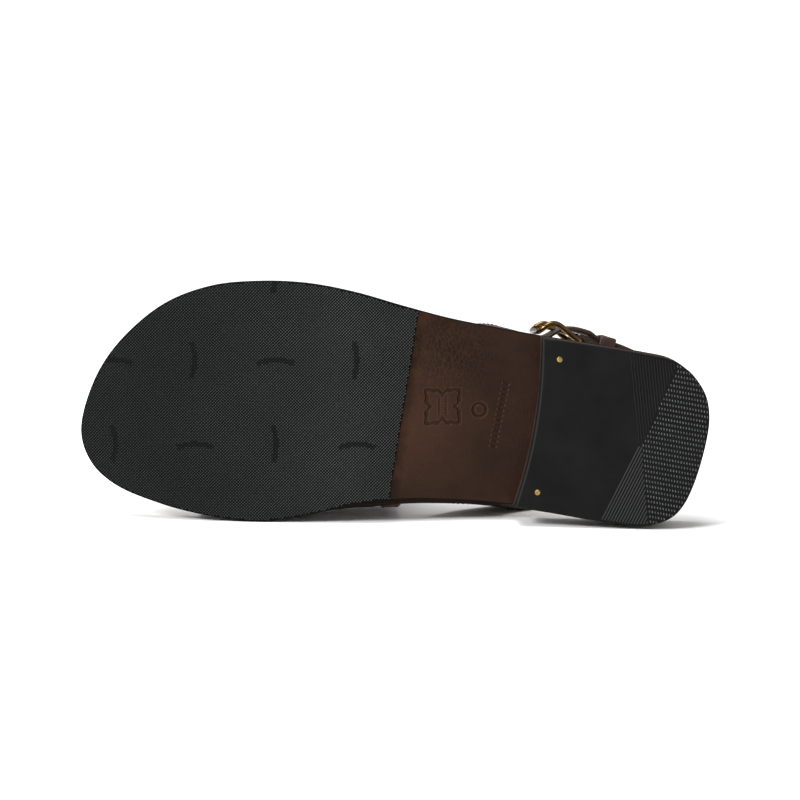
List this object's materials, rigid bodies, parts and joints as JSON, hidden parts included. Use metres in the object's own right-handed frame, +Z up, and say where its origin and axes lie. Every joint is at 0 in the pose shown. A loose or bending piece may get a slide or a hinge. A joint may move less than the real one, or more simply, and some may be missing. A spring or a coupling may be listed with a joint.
{
  "type": "sandal",
  "caption": "Left sandal with a leather sole, rubber half sole and heel, woven vamp with an open toe, heel strap and side buckle.",
  "frame": {"origin": "centre of the underside of the bounding box, on the floor", "axes": "+X from toe to heel along the shoe, +Y from the sole to the foot's side, +Z up, with the outer side of the shoe on top"},
  "size_m": [0.2698, 0.084, 0.1032],
  "materials": {
    "sole_rubber": "matt, fine raised grid",
    "sole_leather": "dark brown, waxed, worn",
    "heel_leather": "dark brown stacked leather",
    "heel_rubber": "matt black, ribbed and dotted",
    "nail_brass": "worn",
    "insole_leather": "smooth brown",
    "upper_leather": "dark brown, soft, woven strips",
    "strap_leather": "dark brown, smooth",
    "buckle_brass": "antique brass"
  },
  "bodies": {
    "root": {"half_sole": "sole_rubber", "outsole": "sole_leather", "heel_base": "heel_leather", "heel_top_piece": "heel_rubber", "heel_nail_1": "nail_brass", "heel_nail_2": "nail_brass", "insole": "insole_leather", "vamp": "upper_leather", "heel_strap": "strap_leather", "side_strap": "strap_leather", "strap_keeper": "strap_leather", "buckle_frame": "buckle_brass", "buckle_prong": "buckle_brass"}
  },
  "joints": []
}
